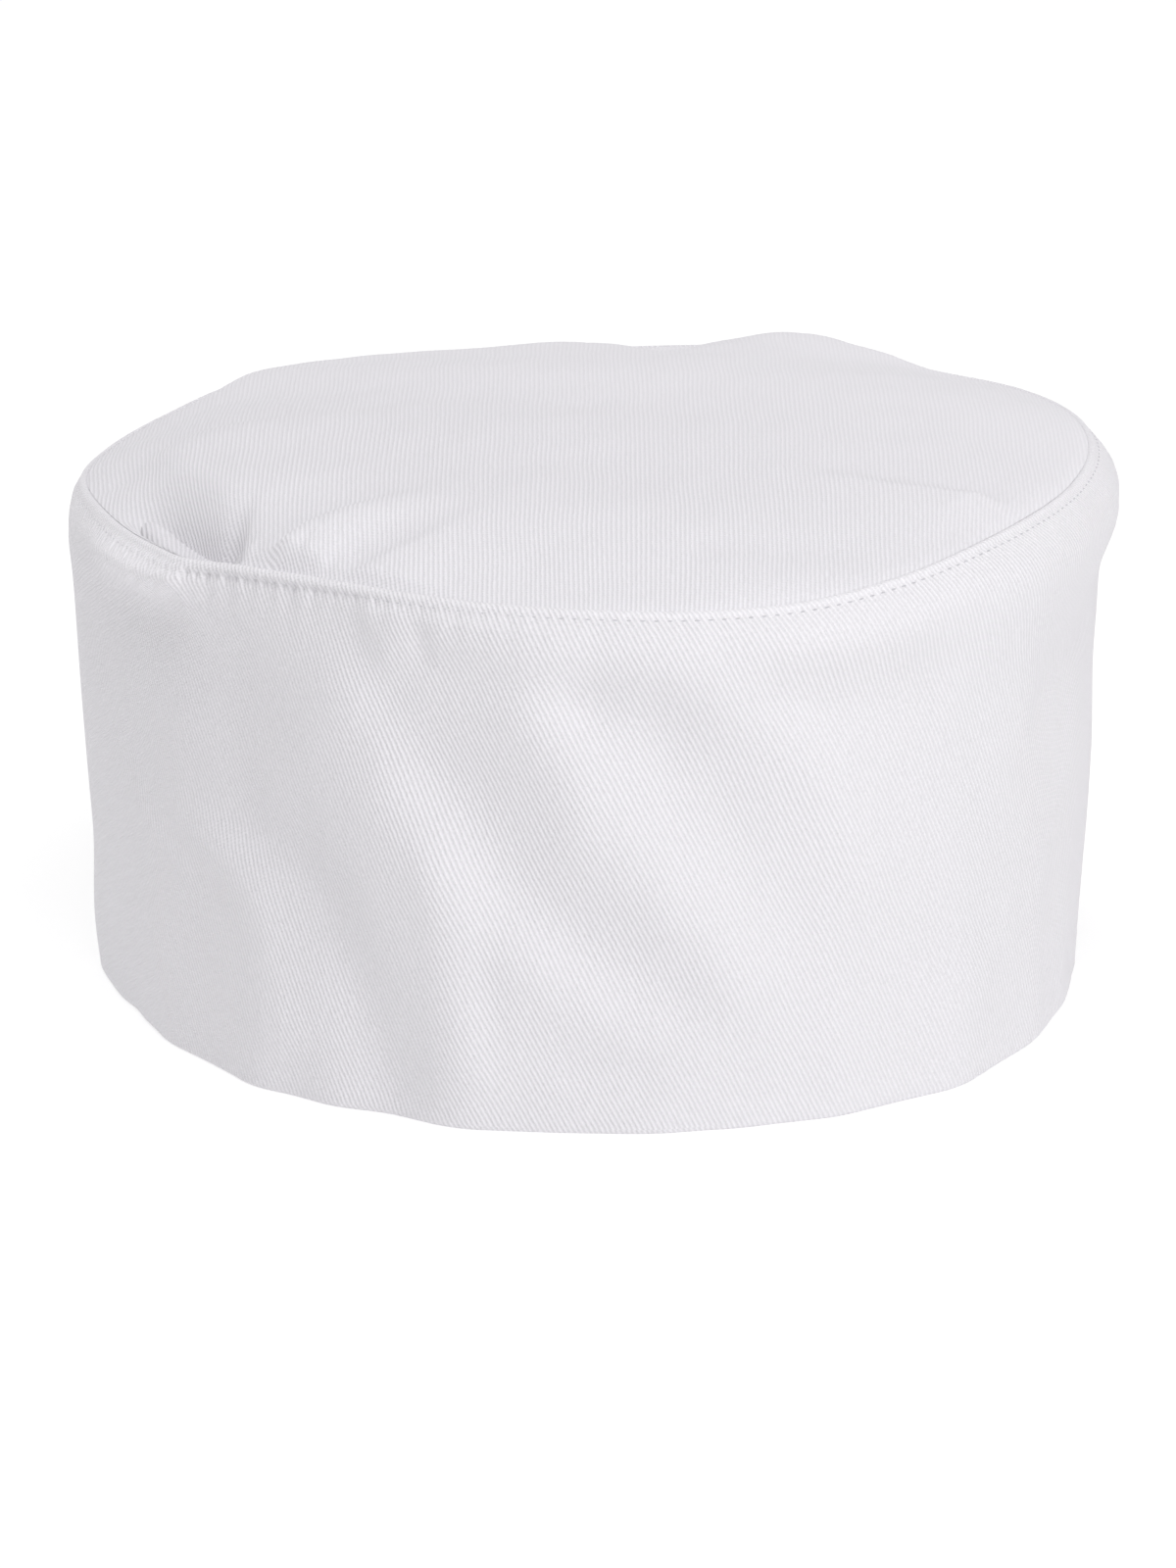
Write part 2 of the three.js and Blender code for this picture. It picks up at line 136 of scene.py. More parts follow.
# Folds: a path, a width on the left and on the right of its way, and a rise. The band's drag
# folds have paths through points of turn and height
bandFolds = (
    (((-14, 14), (-16, 30), (-17.5, 42), (-20, 54), (-23, 64), (-27, 76)), 9.5, 5.5, 2.7),
    (((10, 18), (4, 21.5), (-4, 28), (-11, 37), (-16, 48)), 4.0, 5.0, 1.3),
    (((9, 21), (4.5, 29), (-1.5, 38), (-7, 47), (-10, 56), (-13, 63), (-24, 70)), 6.0, 6.0, -1.6),
    (((16, 29), (11, 39), (6.5, 49), (1, 58), (-1.5, 67), (-6, 80)), 5.0, 5.5, 1.8),
    (((22, 42), (17, 51), (13, 60), (9, 71), (4.5, 80), (0, 84)), 5.5, 5.5, -1.3),
    (((31, 48), (25, 65), (20, 75), (12, 85), (4, 89), (-7.5, 92), (-20, 94)), 4.5, 5.0, 1.5),
    (((0, 81), (-6, 84.5), (-15, 88)), 3.5, 3.5, -0.8),
    (((-22.5, 88), (-24, 94)), 2.5, 2.0, 0.7),
    (((-18, 89), (-19, 95)), 1.6, 1.6, -0.7),
    (((-38, 14), (-40, 26), (-42, 35), (-46, 42), (-53, 49), (-61, 53)), 5.0, 4.5, 1.1),
    (((-23, 6), (-28, 27), (-31, 40), (-36, 47), (-44, 50), (-54, 52), (-68, 52)), 4.5, 4.5, -1.2),
    (((-16, 10), (-24, 25), (-34, 42), (-42, 56), (-49, 74)), 9.0, 8.0, -1.5),
    (((-46, 62), (-43, 72), (-43, 84)), 6.0, 6.0, -0.6),
    (((-55, 37), (-65, 44), (-70, 50)), 2.4, 2.4, 0.4),
    (((-49, 36), (-57, 42), (-64, 47)), 2.4, 2.4, -0.4),
    (((-6, 14), (5, 11)), 3.5, 3.5, -0.8),
    (((-7, 16), (-8, 30)), 3.0, 6.0, 0.8),
    (((20, 91), (27, 90), (37, 90.5)), 4.0, 4.0, 0.9),
    (((20, 81), (29, 79.5), (40, 80)), 5.0, 5.0, -1.0),
    (((-59.4, 89.3), (-53.9, 95.6)), 0.8, 0.8, 0.45),
    (((-55.7, 90.2), (-51.8, 95.4)), 0.8, 0.8, 0.45),
    (((-62.4, 90.1), (-57.8, 95.6)), 0.8, 0.8, 0.35),
    (((90, 84), (66, 70)), 6.0, 6.0, -1.0),
    (((84, 66), (97, 64)), 8.0, 8.0, -0.7),
    (((-98, 62), (-84, 64)), 8.0, 8.0, 0.7),
    (((-98, 34), (-84, 34)), 9.0, 9.0, -0.6),
    (((118, 82), (128, 60), (142, 36)), 8.0, 8.0, -1.3),
    (((152, 78), (160, 52), (172, 30)), 9.0, 9.0, 1.2),
    (((196, 84), (204, 58), (216, 34)), 9.0, 9.0, -1.2),
    (((232, 76), (240, 54), (246, 30)), 8.0, 8.0, 1.1),
)

# Broad dents and puffs of the top panel, with paths through points of x and y
crownFolds = (
    (((-66, -38), (-70, -30), (-74, -22), (-76, -12)), 3.6, 13.0, 3.4),
    (((-88, -10), (-83, 0), (-74, 6), (-62, 6)), 3.0, 3.0, -0.5),
    (((22, -74), (44, -71)), 3.5, 3.5, -0.8),
    (((54, 72), (73, 49)), 5.0, 5.0, -0.8),
    (((60, 72), (40, 80)), 9.0, 9.0, 2.6),
    (((-66, 62), (-48, 76)), 8.0, 8.0, 1.4),
    (((16.5, 92), (15.5, 70)), 5.0, 5.0, -2.0),
)

# Creases of the panel that start at its seam and die out inwards. The last column is how far
# from the seam they have grown to their full height
crownCreases = (
    (((-69.6, -56.8), (-74.6, -45.8), (-79, -35.6), (-82, -25), (-82.2, -16)),
     3.0, 3.4, -11.5, 2.6),
    (((-65.2, -65), (-64.6, -58), (-64, -50), (-63.4, -43)), 1.5, 1.3, -6.0, 1.6),
    (((-62.4, -65.6), (-61.4, -58), (-60.4, -51), (-57, -36)), 1.3, 8.0, 2.6, 2.4),
    (((-54.5, -69), (-50.5, -63), (-46.5, -59.5), (-40.5, -56), (-26, -49)), 1.8, 4.5, 3.2, 2.4),
    (((-48, -75), (-45.5, -67), (-41, -62), (-33, -56), (-22, -50)), 4.5, 3.0, 2.6, 2.4),
    (((-42, -81), (-36, -75.5), (-29.5, -71.5), (-24, -67), (-14, -56)), 2.2, 9.0, 2.4, 2.4),
    (((-53.5, -74), (-51, -69), (-50, -64)), 0.9, 0.9, -1.4, 2.4),
    (((-50.5, -76), (-48.5, -72), (-47, -68)), 0.8, 0.8, -1.0, 2.4),
    (((-47.8, -77.8), (-45.6, -72.3), (-44, -69)), 1.0, 1.0, -2.8, 2.4),
    (((-62.8, -64.8), (-61.3, -59), (-60, -55)), 0.8, 0.8, -1.8, 2.4),
    (((-60.6, -66.6), (-58.9, -62.5), (-57.5, -59)), 0.8, 0.8, -1.3, 2.4),
    (((86, -39), (78, -46.5), (68, -47), (54, -45.5), (44, -43), (20, -38)), 14.0, 3.0, 3.4, 10.0),
)

bandCloth = dict(
    wall=1.8,                   # two layers of drill
    hemRise=0.9,                # height of the rounded fold at the rim and at the top edge
    rimInset=0.5,               # from the outer face to the flat that the cap rests on
    rimBevel=0.27,              # the flat's edges are cut back by this, inward and up
    rimStep=(0.07, 0.55),       # one more corner of the outer rounding, inward and up
    foldClearance=4.0,          # folds fade out over this depth under the top edge
    cornerSoftness=2.4,         # degrees by which the rim's corners are rounded
    cornerRise=0.8,             # share of the height over which the corners fade out
    cornerCut=0.8,              # how far the wall over the rim lies inside the corners
    meanReach=95.0,             # turns degrees into millimetres round the cap
    stepsRound=1270,            # five for each stitch
    lowerRows=42,
    upperDepth=8.0,             # finer rows start at this depth under the top edge
    upperRows=16,
    foldSteps=8,                # over the rounded top edge
    innerRows=8,
    stitchDepth=1.4,            # topstitching's depth under the top edge
    tightTurn=-48.0,            # where the seam is gathered most
    tightSpread=34.0,           # degrees over which the gathering dies out
    tightDepth=0.8,             # the stitches run lower by this there
    stitchesRound=254,
    grooveDepth=0.12,
    tightGroove=0.5,            # the groove is deeper by this where the seam is gathered most
    grooveAbove=0.5,            # its width above the stitches
    grooveBelow=1.1,
    pull=0.5,                   # each stitch pulls the groove in by this share of its depth
    welt=0.2,                   # the cloth swells between the groove and the top edge
    weltDepth=1.0,
    weltWidth=0.8,
    lean=0.9,                   # the edge leans inward by this over the depth that follows
    leanDepth=2.4,
    edgeReach=3.0,              # the inner face goes along with the edge down to this depth
    seamCorner=8.0,             # corners of the seam fade out over this depth
    seamSoftness=12.0,          # degrees over which they are evened out below it
    puckerHeight=0.09,
    puckerLeast=0.45,           # share of that height away from where the seam is gathered most
    puckerTight=1.1,            # share that is added there
    puckerStart=1.2,            # puckers start at this depth
    puckerGrowth=1.6,           # they grow over this depth
    puckerReach=11.0,           # and fade out over this one
    puckerCounts=(74, 128),     # fewest and most ripples round the cap
    puckerSeed=3,
    joinWidth=9.0,              # half the width of the join up the back
    joinRise=0.25,
    joinEase=2.5,               # it rises over this distance
    joinGroove=0.55,            # depth of the line where the two ends meet
    joinGrooveWidth=0.7,
    joinStart=2.0,              # the join fades out over this depth under the top edge
    weltHighlight=0.05,              # painted highlight: the welt's colour is lighter by this
    weltHighlightDepth=0.6,
    weltHighlightWidth=0.7,
    shoulderHighlight=0.05,          # painted highlight on the front of the shoulder, lighter by this
    shoulderHighlightDepth=7.0,
    litStretch=(-20, 20, 80, 110),     # turns where the painted light starts, is full, starts to fade and ends
    pillowHighlight=0.09,            # painted highlight on the puffed fold at the left, lighter by this
    pillowTurn=-61.0,
    pillowDepth=3.5,
    pillowSpread=(10.0, 3.5),   # degrees round and millimetres down
    unevenHeight=0.22,          # soft unevenness of worn, washed cloth
    unevenLength=34.0,
    unevenSeed=5,
    rippleHeight=0.07,
    rippleLength=12.0,
    rippleUpright=0.6,          # ripples are longer upwards: heights count by this share
    rippleSeed=8,
)

crownCloth = dict(
    wall=1.3,
    gap=0.03,                   # between the turned edge and the band
    foldCover=56.0,             # the panel follows the band's fold up to this many degrees round
    foldDegrees=(15, 28, 42, 53),       # degrees round the fold of its rings before that
    allowance=7.0,              # depth of the turned edge
    middle=100.5,               # height of the seam's plane at the middle of the panel
    lift=11.0,                  # the dome rises over that plane by this
    flatness=3.0,               # power of the dome's curve, higher is flatter in the middle
    creaseFade=0.06,            # dents fade out at the seam over this share of the reach
    stepsRound=840,
    domeRings=84,
    domeEase=1.25,              # rings lie closer together towards the seam
    domeEnd=0.99,               # the last ring is this share of the way to the middle
    edgeShare=0.0004,           # the second ring is this share of the reach from the edge
    ceilingRings=14,
    ceilingStart=0.01,
    turnedRings=7,
    seamHighlight=0.07,              # painted light: the panel is lighter by this near the seam at the front and right
    seamHighlightReach=2.0,
    gatherHeight=0.16,
    gatherLeast=0.35,           # share of that height away from where the seam is gathered most
    gatherTight=1.3,            # share that is added there
    gatherStart=1.5,            # gathers grow over this distance from the seam
    gatherReach=11.0,           # and fade out over this one
    gatherCounts=(70, 120),     # fewest and most ripples round the cap
    gatherSeed=31,
    unevenHeight=0.3,
    unevenLength=38.0,
    unevenSeed=21,
    rippleHeight=0.07,
    rippleLength=13.0,
    rippleSeed=22,
)


def aroundCap(rows, column, turn):
    # a smooth closed curve through one column of a table
    turns = rows["turn"]
    values = rows[column]
    turns = np.concatenate([turns[-2:] - 360, turns, turns[:3] + 360])
    values = np.concatenate([values[-2:], values, values[:3]])
    wanted = (np.asarray(turn, float) - turns[2]) % 360 + turns[2]
    at = np.clip(np.searchsorted(turns, wanted, side="right") - 1, 1, len(turns) - 3)
    span = turns[at + 1] - turns[at]
    startSlope = (values[at + 1] - values[at - 1]) / (turns[at + 1] - turns[at - 1]) * span
    endSlope = (values[at + 2] - values[at]) / (turns[at + 2] - turns[at]) * span
    s = (wanted - turns[at]) / span
    return (
        (2 * s**3 - 3 * s**2 + 1) * values[at] + (s**3 - 2 * s**2 + s) * startSlope
        + (3 * s**2 - 2 * s**3) * values[at + 1] + (s**3 - s**2) * endSlope
    )


def chordReach(turn):
    # the rim as straight lines from corner to corner
    turns = np.append(rim["turn"], rim["turn"][0] + 360)
    reaches = np.append(rim["reach"], rim["reach"][0])
    wanted = (turn - turns[0]) % 360 + turns[0]
    at = np.clip(np.searchsorted(turns, wanted, side="right") - 1, 0, len(turns) - 2)
    start, end = reaches[at], reaches[at + 1]
    span = np.radians(turns[at + 1] - turns[at])
    fromStart = np.radians(wanted - turns[at])
    toEnd = np.radians(turns[at + 1] - wanted)
    return start * end * np.sin(span) / (start * np.sin(fromStart) + end * np.sin(toEnd))


def wallReach(turn):
    return aroundCap(rim, "reach", turn)


def seamReach(turn):
    return aroundCap(sections, "reach", turn)


def evened(measure, turn, degrees, samples=7):
    # a measure's mean over so many degrees to both sides
    offsets = np.linspace(-1, 1, samples) * degrees
    return sum(measure(turn + offset) for offset in offsets) / len(offsets)


def foldRise(x, y, path, leftWidth, rightWidth, rise, fading=False):
    # height of one fold or dent, from the distance to the nearest point of its path
    nearest = np.full(np.broadcast(x, y).shape, np.inf)
    width = np.full(nearest.shape, leftWidth)
    along = np.zeros(nearest.shape)
    lengths = [math.dist(a, b) for a, b in zip(path, path[1:])]
    done = 0
    for (startX, startY), (endX, endY), length in zip(path, path[1:], lengths):
        wayX, wayY = (endX - startX) / length, (endY - startY) / length
        run = np.clip((x - startX) * wayX + (y - startY) * wayY, 0, length)
        asideX, asideY = x - startX - run * wayX, y - startY - run * wayY
        away = asideX**2 + asideY**2
        closer = away < nearest
        nearest = np.where(closer, away, nearest)
        side = (wayX * asideY - wayY * asideX) / np.sqrt(away + 1e-9)
        width = np.where(closer, mix(rightWidth, leftWidth, (1 + side) / 2), width)
        along = np.where(closer, (done + run) / sum(lengths), along)
        done += length
    strength = 1 - smooth(along) if fading else 1
    return rise * strength * np.exp(-nearest / (2 * width**2))


def smooth(share):
    s = np.clip(share, 0, 1)
    return s * s * (3 - 2 * s)


def mix(a, b, share):
    return a * (1 - share) + b * share


def unevenness(x, y, z, length, seed, waves=16, spread=(0.7, 1.5)):
    # waves of about one length that run every way, the same on each run
    rng = np.random.default_rng(seed)
    total = 0
    for _ in range(waves):
        way = rng.normal(size=3)
        way /= np.linalg.norm(way)
        turnsPerMm = 1 / (length * rng.uniform(*spread))
        phase = rng.uniform(0, 2 * math.pi)
        along = x * way[0] + y * way[1] + z * way[2]
        total = total + np.sin(2 * math.pi * turnsPerMm * along + phase)
    return total / math.sqrt(waves / 2)


def puckers(turn, fewest, most, seed, waves=7):
    # ripples that close on themselves round the cap
    rng = np.random.default_rng(seed)
    total = 0
    for count in rng.integers(fewest, most, waves):
        total = total + np.cos(np.radians(turn) * count + rng.uniform(0, 2 * math.pi))
    return total / math.sqrt(waves / 2)


def bandReach(turn, height):
    # the outer face with its shoulder, belly and folds
    c = bandCloth
    top = aroundCap(sections, "height", turn)
    share = np.clip(height / top, 0, 1)
    depth = np.maximum(top - height, 0)
    corners = evened(chordReach, turn, c["cornerSoftness"])
    wall = evened(wallReach, turn, c["seamSoftness"]) - c["cornerCut"]
    lower = mix(corners, wall, smooth(share / c["cornerRise"]))
    swell = 1 - np.exp(-depth / aroundCap(sections, "swell", turn))
    shoulder = aroundCap(sections, "shoulder", turn) * swell
    shoulder = shoulder * np.exp(-((depth / aroundCap(sections, "drop", turn)) ** 2))
    belly = aroundCap(sections, "belly", turn) * np.sin(math.pi * share)
    folds = 0
    for path, *fold in bandFolds:
        start = path[0][0]
        nearTurn = (turn - start + 180) % 360 - 180 + start
        arcPath = [(math.radians(t) * c["meanReach"], h) for t, h in path]
        folds = folds + foldRise(np.radians(nearTurn) * c["meanReach"], height, arcPath, *fold)
    folds = folds * np.clip(depth / c["foldClearance"], 0, 1)
    seam = evened(seamReach, turn, c["seamSoftness"])
    corner = (seamReach(turn) - seam) * np.exp(-depth / c["seamCorner"])
    return mix(lower, seam, share) + corner + shoulder + belly + folds


def place(turn, reach, height):
    angle = np.radians(turn)
    x = reach * np.sin(angle) - boxMiddle[0]
    y = -reach * np.cos(angle) - boxMiddle[1]
    return np.stack(np.broadcast_arrays(x, y, height), axis=-1)


def leftFront(turn):
    # 1 where the seam is gathered most, and 0 far from there
    return np.exp(-(((turn - bandCloth["tightTurn"]) / bandCloth["tightSpread"]) ** 2))


def stitchDepth(turn):
    return bandCloth["stitchDepth"] + bandCloth["tightDepth"] * leftFront(turn)


def bandSurface(turn, height):
    # the outer face with its stitch groove, puckers, back join and soft unevenness
    c = bandCloth
    depth = aroundCap(sections, "height", turn) - height
    reach = bandReach(turn, height)
    x, y = reach * np.sin(np.radians(turn)), reach * np.cos(np.radians(turn))
    clear = smooth(depth / c["foldClearance"])
    uneven = unevenness(x, y, height, c["unevenLength"], c["unevenSeed"])
    ripples = unevenness(x, y, height * c["rippleUpright"], c["rippleLength"], c["rippleSeed"])
    uneven = uneven * c["unevenHeight"] * clear + ripples * c["rippleHeight"] * clear
    tight = c["puckerLeast"] + c["puckerTight"] * leftFront(turn)
    fromStitch = depth - stitchDepth(turn)
    below = np.clip(fromStitch / c["puckerReach"], 0, 1)
    near = smooth((depth - c["puckerStart"]) / c["puckerGrowth"]) * (1 - below) ** 2
    ripple = puckers(turn, *c["puckerCounts"], c["puckerSeed"])
    pucker = ripple * c["puckerHeight"] * tight * near
    grooveWidth = np.where(fromStitch < 0, c["grooveAbove"], c["grooveBelow"])
    pull = 1 + c["pull"] * np.cos(np.radians(turn) * c["stitchesRound"])
    groove = pull * (c["grooveDepth"] + c["tightGroove"] * leftFront(turn))
    groove = groove * np.exp(-((fromStitch / grooveWidth) ** 2))
    welt = c["welt"] * np.exp(-(((depth - c["weltDepth"]) / c["weltWidth"]) ** 2))
    fromBack = np.abs((turn + 360) % 360 - 180) * math.radians(1) * c["meanReach"]
    joinLine = c["joinGroove"] * np.exp(-((fromBack / c["joinGrooveWidth"]) ** 2))
    join = c["joinRise"] * smooth((c["joinWidth"] - fromBack) / c["joinEase"]) - joinLine
    lean = c["lean"] * np.clip(1 - depth / c["leanDepth"], 0, 1) ** 2
    return reach + uneven + pucker - groove + welt - lean + join * smooth(depth / c["joinStart"])


def frontRight(turn):
    # the stretch from the front to the right, where light is painted along the seam
    start, full, fading, end = bandCloth["litStretch"]
    return smooth((turn - start) / (full - start)) * smooth((end - turn) / (end - fading))


# painted highlights: how much lighter the band's colour is painted on the welt, the shoulder's
# front and the puffed fold
def bandPaintedLight(turn, depth):
    c = bandCloth
    welt = c["weltHighlight"] * np.exp(-(((depth - c["weltHighlightDepth"]) / c["weltHighlightWidth"]) ** 2))
    fading = np.exp(-((depth / c["shoulderHighlightDepth"]) ** 2))
    shoulder = c["shoulderHighlight"] * frontRight(turn) * fading
    degrees, deep = c["pillowSpread"]
    aside = ((turn - c["pillowTurn"]) / degrees) ** 2
    pillow = c["pillowHighlight"] * np.exp(-aside - ((depth - c["pillowDepth"]) / deep) ** 2)
    return welt + shoulder + pillow


def innerReach(turn, height):
    # the band's inner face, which goes along with the folded edge near the top
    c = bandCloth
    top = aroundCap(sections, "height", turn)
    edge = top - c["hemRise"]
    shift = bandSurface(turn, edge) - bandReach(turn, edge)
    fading = np.exp(-(((top - height) / c["edgeReach"]) ** 2))
    return bandReach(turn, height) - c["wall"] + shift * fading


def onFold(turn, degrees):
    # where the panel lies on the inner rounding of the band's fold
    c = bandCloth
    top = aroundCap(sections, "height", turn)
    half = c["wall"] / 2
    inward = half + (half + crownCloth["gap"]) * math.cos(math.radians(degrees))
    up = (c["hemRise"] + crownCloth["gap"]) * math.sin(math.radians(degrees))
    return bandSurface(turn, top - c["hemRise"]) - inward, top - c["hemRise"] + up


def panelReach(turn):
    return onFold(turn, crownCloth["foldCover"])[0]


def panelHeight(turn, share):
    # the panel's outer face, share is 0 at its middle and 1 at the seam
    c = crownCloth
    top = onFold(turn, c["foldCover"])[1]
    reach = panelReach(turn) * share
    x, y = reach * np.sin(np.radians(turn)), -reach * np.cos(np.radians(turn))
    creases = 0
    for fold in crownFolds:
        creases = creases + foldRise(x, y, *fold)
    fromSeam = (1 - share) * bandCloth["meanReach"]
    seamCreases = 0
    for *crease, start in crownCreases:
        seamCreases = seamCreases + foldRise(x, y, *crease, fading=True) * smooth(fromSeam / start)
    dome = c["lift"] * (1 - share ** c["flatness"])
    uneven = unevenness(x, y, 0, c["unevenLength"], c["unevenSeed"]) * c["unevenHeight"]
    uneven = uneven + unevenness(x, y, 0, c["rippleLength"], c["rippleSeed"]) * c["rippleHeight"]
    fade = np.clip((1 - share) / c["creaseFade"], 0, 1)
    tight = c["gatherLeast"] + c["gatherTight"] * leftFront(turn)
    inward = np.clip(fromSeam / c["gatherReach"], 0, 1)
    near = smooth(fromSeam / c["gatherStart"]) * (1 - inward) ** 2
    ripple = puckers(turn, *c["gatherCounts"], c["gatherSeed"])
    gathers = ripple * c["gatherHeight"] * tight * near
    plane = mix(c["middle"], top, share**2)
    return plane + dome + (creases + uneven) * fade + seamCreases + gathers


def bodyFromRings(name, rings, patterns, paintedLight, closed):
    # rings of points become a closed mesh, patterns are the cloth's own flat coordinates, and
    # the painted light says how much lighter the colour is painted at each point
    steps = rings[0].shape[0]
    points = np.concatenate(rings)
    ringCount = len(rings)
    strips = ringCount if closed else ringCount - 1
    column = np.arange(steps)
    nextColumn = (column + 1) % steps
    faces, uvs = [], []
    for lower in range(strips):
        a, b = lower * steps, (lower + 1) % ringCount * steps
        faces.append(np.stack([a + column, a + nextColumn, b + nextColumn, b + column], axis=1))
        low, high = patterns[lower], patterns[lower + 1]
        uvs.append(np.stack([low[:-1], low[1:], high[1:], high[:-1]], axis=1))
    faces = np.concatenate(faces)
    uvs = np.concatenate(uvs).reshape(-1, 2)
    polygons = faces.tolist()
    if not closed:
        last = (ringCount - 1) * steps
        polygons.append(list(range(steps))[::-1])
        polygons.append(list(range(last, last + steps)))
        uvs = np.concatenate([uvs, patterns[0][:-1][::-1], patterns[-1][:-1]])
    mesh = bpy.data.meshes.new(name)
    mesh.from_pydata((points * mm).tolist(), [], polygons)
    layer = mesh.uv_layers.new(name="cloth")
    layer.data.foreach_set("uv", (uvs * mm).astype(np.float32).ravel())
    withPaintedLight = mesh.attributes.new("paintedLight", "FLOAT", "POINT")
    withPaintedLight.data.foreach_set("value", np.concatenate(paintedLight).astype(np.float32))
    mesh.polygons.foreach_set("use_smooth", np.ones(len(mesh.polygons), bool))
    mesh.update()
    piece = bpy.data.objects.new(name, mesh)
    bpy.context.scene.collection.objects.link(piece)
    return piece


def makeBand():
    c = bandCloth
    turn = -180 + np.arange(c["stepsRound"]) * 360 / c["stepsRound"]
    top = aroundCap(sections, "height", turn)
    lowest = np.full_like(turn, c["hemRise"])
    heights = [mix(lowest, top - c["upperDepth"], s) for s in np.linspace(0, 1, c["lowerRows"])]
    depths = np.linspace(c["upperDepth"], c["hemRise"], c["upperRows"])[1:]
    heights += [top - depth for depth in depths]
    outer = [(bandSurface(turn, h), h) for h in heights]
    edgeReach = outer[-1][0]
    half = c["wall"] / 2
    fold = []
    for angle in np.linspace(0, math.pi, c["foldSteps"] + 1)[1:-1]:
        inward, up = half * (1 - math.cos(angle)), c["hemRise"] * math.sin(angle)
        fold.append((edgeReach - inward, top - c["hemRise"] + up))
    inner = []
    for share in np.linspace(1, 0, c["innerRows"]):
        height = mix(lowest, top - c["hemRise"], share)
        inner.append((innerReach(turn, height), height))
    rimBase = outer[0][0]
    bevel, inset = c["rimBevel"], c["rimInset"]
    hemCorners = (              # from the inner face, under the rim, to the outer face
        (c["wall"] - bevel, bevel),
        (c["wall"] - inset, 0.0),
        (inset, 0.0),
        (bevel, bevel),
        c["rimStep"],
    )
    hem = [(rimBase - inward, np.full_like(turn, up)) for inward, up in hemCorners]
    profile = outer + fold + inner + hem
    rings = [place(turn, reach, height) for reach, height in profile]
    edge = np.append(turn, 180) * math.radians(1) * c["meanReach"]
    patterns, run = [], 0
    for index in range(len(rings) + 1):
        patterns.append(np.stack([edge, np.full_like(edge, run)], axis=1))
        here, after = rings[index % len(rings)], rings[(index + 1) % len(rings)]
        run += float(np.linalg.norm(after - here, axis=1).mean())
    # painted highlights on the welt, the shoulder's front and the puffed fold
    paintedLight = [bandPaintedLight(turn, top - height) for _, height in profile]
    return bodyFromRings("band_cloth", rings, patterns, paintedLight, closed=True)


def makePanel():
    c = crownCloth
    turn = np.arange(c["stepsRound"]) * 360 / c["stepsRound"]
    top = aroundCap(sections, "height", turn)
    reach = panelReach(turn)

    def turnedEdge(depth, inward):
        height = top - depth
        return innerReach(turn, height) - c["gap"] - inward, height

    under = []
    for share in np.linspace(c["ceilingStart"], 1, c["ceilingRings"]):
        inside = (reach - c["wall"]) * share
        under.append((inside, panelHeight(turn, inside / reach) - c["wall"]))
    depths = np.linspace(bandCloth["hemRise"], c["allowance"], c["turnedRings"])
    under += [turnedEdge(depth, c["wall"]) for depth in depths]
    outer = [turnedEdge(depth, 0) for depth in depths[::-1]]
    outer += [onFold(turn, degrees) for degrees in c["foldDegrees"]]
    # two rings close together keep the panel's shading clear of its sharp edge
    inwards = np.linspace(0, 1, c["domeRings"]) ** c["domeEase"] * c["domeEnd"]
    shares = np.append(1, 1 - c["edgeShare"] - inwards)
    outer += [(reach * share, panelHeight(turn, share)) for share in shares]
    rings = [place(turn, r, h) for r, h in under + outer]
    angle = np.radians(np.append(turn, 360))
    patterns = []
    for part in (under, outer[::-1]):
        points = [place(turn, r, h) for r, h in part]
        run = np.array(part[0][0])
        flat = [run]
        for here, after in zip(points, points[1:]):
            run = run + np.linalg.norm(after - here, axis=1)
            flat.append(run)
        wrapped = [np.append(r, r[0]) for r in flat]
        spread = [np.stack([r * np.sin(angle), -r * np.cos(angle)], axis=1) for r in wrapped]
        patterns.append(spread)
    fromSeam = [np.abs(reach - r) for r, _ in outer]
    # painted light along the seam at the front and right, fading inwards from it
    seamHighlight = frontRight((turn + 180) % 360 - 180) * c["seamHighlight"]
    paintedLight = [np.zeros_like(turn) for _ in under]
    paintedLight += [seamHighlight * np.exp(-away / c["seamHighlightReach"]) for away in fromSeam]
    return bodyFromRings("panel_cloth", rings, patterns[0] + patterns[1][::-1], paintedLight, closed=False)


bandPiece = makeBand()
print("band made:", len(bandPiece.data.polygons), "faces")
panelPiece = makePanel()
print("top panel made:", len(panelPiece.data.polygons), "faces")


# Cloth and thread

# a socket that Python's own operators add Math nodes to
class Value:
    def __init__(self, recipe, socket):
        self.recipe = recipe
        self.socket = socket

    def __add__(self, other):
        return self.recipe.math("ADD", self, other)

    def __sub__(self, other):
        return self.recipe.math("SUBTRACT", self, other)

    def __rsub__(self, other):
        return self.recipe.math("SUBTRACT", other, self)

    def __mul__(self, other):
        return self.recipe.math("MULTIPLY", self, other)

    __radd__ = __add__
    __rmul__ = __mul__

    def other(self, output):
        return Value(self.recipe, self.socket.node.outputs[output])


# a material and its nodes
class Recipe:
    def __init__(self, name):
        self.material = bpy.data.materials.new(name)
        self.material.use_nodes = True
        self.tree = self.material.node_tree
        self.shader = self.tree.nodes["Principled BSDF"]

    def node(self, kind, settings=None, inputs=None, output=0):
        made = self.tree.nodes.new(kind)
        for name, value in (settings or {}).items():
            setattr(made, name, value)
        for name, value in (inputs or {}).items():
            self.feed(made.inputs[name], value)
        return Value(self, made.outputs[output])

    def feed(self, socket, value):
        if isinstance(value, Value):
            self.tree.links.new(value.socket, socket)
        else:
            socket.default_value = value

    def math(self, operation, *values):
        return self.node("ShaderNodeMath", {"operation": operation}, dict(enumerate(values)))

    def wave(self, value):
        return self.math("SINE", value)


